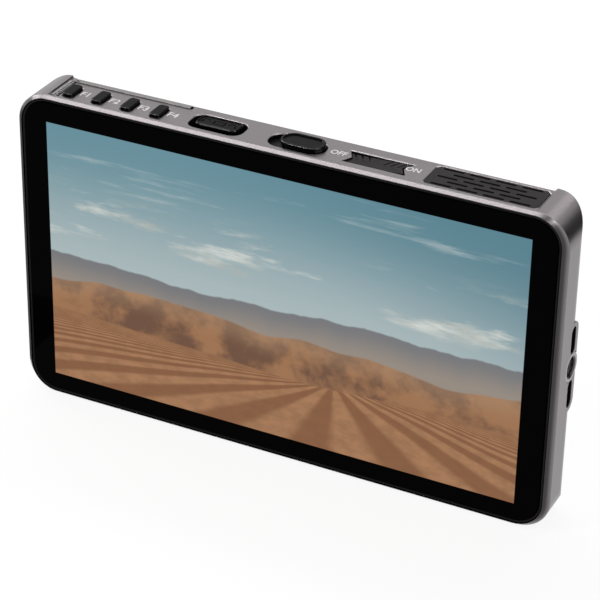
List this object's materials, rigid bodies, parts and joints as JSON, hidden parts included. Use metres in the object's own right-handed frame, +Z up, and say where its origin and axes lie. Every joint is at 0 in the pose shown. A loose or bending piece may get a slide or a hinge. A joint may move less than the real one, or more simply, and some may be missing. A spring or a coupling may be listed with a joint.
{
  "type": "camera field monitor",
  "caption": "Slim six-inch camera monitor in a metal housing, with a glass front, keys and a power rocker along the top edge, thread sockets, ports and a battery bay behind.",
  "frame": {"origin": "centre of the overall box on the plane of the foot, where the monitor stands on its bottom edge", "axes": "+Z up from the foot to the key field, -Y the way the screen faces, +X to the right as seen from the front"},
  "size_m": [0.1504, 0.0196, 0.0885],
  "materials": {
    "anodised_housing": "fine bead-blasted and anodised dark grey",
    "black_glass": "polished cover glass, black behind the border",
    "black_rubber": "matt black bonding ring",
    "panel_glass": "dark display glass",
    "white_diffuser": "white diffuser",
    "bare_aluminium": "bare sheet and extrusion",
    "black_steel": "black zinc",
    "bright_steel": "bright plated",
    "thread_steel": "bright turned",
    "circuit_board": "green solder mask",
    "panel_plastic": "fine satin black",
    "socket_plastic": "plain black",
    "key_plastic": "soft satin black",
    "grille_metal": "satin black paint",
    "fan_plastic": "moulded black",
    "cover_plastic": "fine spark-eroded texture",
    "contact_brass": "gold-plated",
    "amber_film": "amber film"
  },
  "bodies": {
    "body": {"body_housing": "anodised_housing", "front_glass": "black_glass", "glass_gasket": "black_rubber", "display_panel": "panel_glass", "backlight_unit": "white_diffuser", "chassis_plate": "bare_aluminium", "chassis_screws": "black_steel", "board_screws": "bright_steel", "main_board": "circuit_board", "port_panel": "panel_plastic", "hdmi_in_port": "bright_steel", "hdmi_out_port": "bright_steel", "usb_port": "bright_steel", "power_jack": "socket_plastic", "headphone_jack": "socket_plastic", "key_board": "circuit_board", "key_board_screws": "bright_steel", "key_switches": "socket_plastic", "lock_switch": "socket_plastic", "rocker_pin": "bright_steel", "rocker_switch": "socket_plastic", "speaker_grille": "grille_metal", "speaker": "socket_plastic", "hood_rail": "grille_metal", "side_thread_insert": "thread_steel", "foot_thread_insert": "thread_steel", "display_ribbon": "amber_film", "heat_sink": "bare_aluminium", "fan_housing": "fan_plastic", "rear_cover": "cover_plastic", "cover_screws": "black_steel", "battery_plate": "cover_plastic", "bay_screws": "black_steel", "battery_contacts": "contact_brass"},
    "f1": {"button_f1": "key_plastic"},
    "f2": {"button_f2": "key_plastic"},
    "f3": {"button_f3": "key_plastic"},
    "f4": {"button_f4": "key_plastic"},
    "wide_key": {"menu_key": "key_plastic"},
    "slider": {"lock_slider": "key_plastic"},
    "rocker": {"power_rocker": "key_plastic"},
    "rotor": {"fan_rotor": "fan_plastic"},
    "latch": {"battery_latch": "key_plastic"}
  },
  "joints": [
    {"name": "f1_press", "type": "slide", "parent": "body", "child": "f1", "axis": [0, 0, -1], "range_m": [0, 0.0005], "stiffness_N_per_m": 400, "springref_m": -0.0005},
    {"name": "f2_press", "type": "slide", "parent": "body", "child": "f2", "axis": [0, 0, -1], "range_m": [0, 0.0005], "stiffness_N_per_m": 400, "springref_m": -0.0005},
    {"name": "f3_press", "type": "slide", "parent": "body", "child": "f3", "axis": [0, 0, -1], "range_m": [0, 0.0005], "stiffness_N_per_m": 400, "springref_m": -0.0005},
    {"name": "f4_press", "type": "slide", "parent": "body", "child": "f4", "axis": [0, 0, -1], "range_m": [0, 0.0005], "stiffness_N_per_m": 400, "springref_m": -0.0005},
    {"name": "menu_key_rock", "type": "hinge", "parent": "body", "child": "wide_key", "pos_m": [-0.0213, -0.00155, 0.0841], "axis": [0, 1, 0], "range_deg": [-4, 4], "stiffness_Nm_per_rad": 0.08},
    {"name": "lock_slide", "type": "slide", "parent": "body", "child": "slider", "axis": [-1, 0, 0], "range_m": [0, 0.003]},
    {"name": "power_rock", "type": "hinge", "parent": "body", "child": "rocker", "pos_m": [0.0224, -0.00155, 0.0843], "axis": [0, 1, 0], "range_deg": [0, 5]},
    {"name": "fan_spin", "type": "hinge", "parent": "body", "child": "rotor", "pos_m": [0.04, 0, 0.04405], "axis": [0, 1, 0], "continuous": true},
    {"name": "latch_press", "type": "slide", "parent": "body", "child": "latch", "axis": [0, -1, 0], "range_m": [0, 0.0022], "stiffness_N_per_m": 300, "springref_m": -0.001}
  ]
}
